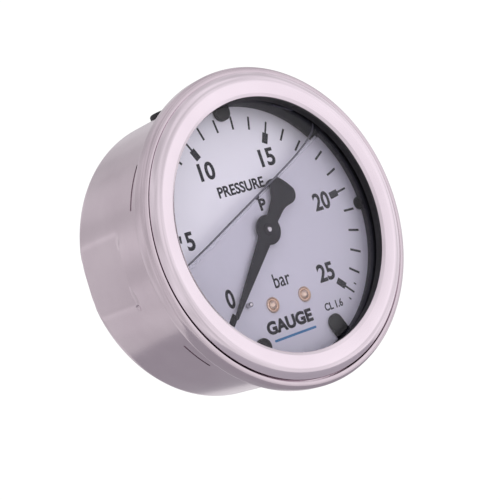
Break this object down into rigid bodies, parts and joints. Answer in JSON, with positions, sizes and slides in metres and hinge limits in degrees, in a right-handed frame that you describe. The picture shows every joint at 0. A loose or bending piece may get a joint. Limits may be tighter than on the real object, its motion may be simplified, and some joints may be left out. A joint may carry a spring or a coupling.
{
  "type": "pressure gauge",
  "caption": "Liquid-filled Bourdon tube pressure gauge with a round steel case, white dial, black pointer and threaded rear connection.",
  "frame": {"origin": "on the gauge axis at the sealing shoulder of the pipe connection, where the thread starts", "axes": "+Y along the thread, out of the back; the dial faces -Y; +Z is twelve o'clock; +X is three o'clock"},
  "size_m": [0.068, 0.0525, 0.068],
  "materials": {
    "stainless_case": "pressed stainless sheet, bright rolled finish",
    "polished_bezel": "polished stainless ring",
    "window_pane": "clear flat instrument pane",
    "seal_rubber": "moulded black rubber",
    "black_moulding": "moulded black spacer",
    "dial_enamel": "white enamelled aluminium with printed scale",
    "copper": "formed copper eyelets",
    "bright_steel": "bright turned steel",
    "brass": "machined brass",
    "phosphor_bronze": "drawn phosphor bronze",
    "pointer_paint": "black painted aluminium"
  },
  "bodies": {
    "case": {"case_shell": "stainless_case", "filling_plug": "seal_rubber", "bezel_ring": "polished_bezel", "window": "window_pane", "window_gasket": "seal_rubber", "spacer_ring": "black_moulding", "dial": "dial_enamel", "dial_rivets": "copper", "stop_pin": "bright_steel", "connection_block": "brass", "stem_seal": "seal_rubber", "stem_screws": "bright_steel", "restrictor_screw": "brass", "bourdon_tube": "phosphor_bronze", "movement_back_plate": "brass", "movement_front_plate": "brass", "movement_pillars": "brass", "pillar_screws": "bright_steel", "movement_screws": "bright_steel", "hairspring": "phosphor_bronze", "hairspring_stud": "brass"},
    "pointer_shaft": {"pinion_arbor": "bright_steel", "pointer": "pointer_paint", "pointer_hub": "brass", "hairspring_collet": "brass"},
    "sector": {"sector_gear": "brass", "sector_arbor": "bright_steel", "tail_pin": "bright_steel"},
    "tube_end": {"tube_tip": "brass", "tip_pin": "bright_steel"},
    "link": {"link": "brass"}
  },
  "joints": [
    {"name": "pointer_spin", "type": "hinge", "parent": "case", "child": "pointer_shaft", "pos_m": [0, -0.024, 0], "axis": [0, 1, 0], "range_deg": [0, 270], "stiffness_Nm_per_rad": 0.0005, "springref_deg": -20.05, "deforming": ["hairspring"]},
    {"name": "sector_swing", "type": "hinge", "parent": "case", "child": "sector", "pos_m": [0, -0.024, -0.0132], "axis": [0, 1, 0], "range_deg": [-27.2, 0]},
    {"name": "tube_flex", "type": "hinge", "parent": "case", "child": "tube_end", "pos_m": [-0.0007, -0.0155, 0.00534], "axis": [0, 1, 0], "range_deg": [-4.3, 0], "deforming": ["bourdon_tube"]},
    {"name": "link_turn", "type": "hinge", "parent": "tube_end", "child": "link", "pos_m": [0.01414, -0.0232, -0.01685], "axis": [0, 1, 0], "range_deg": [0, 3.6]}
  ],
  "couplings": [
    {"joint": "sector_swing", "follows": "pointer_spin", "ratio": -0.1},
    {"joint": "tube_flex", "follows": "pointer_spin", "ratio": -0.0156},
    {"joint": "link_turn", "follows": "pointer_spin", "ratio": 0.01273}
  ]
}
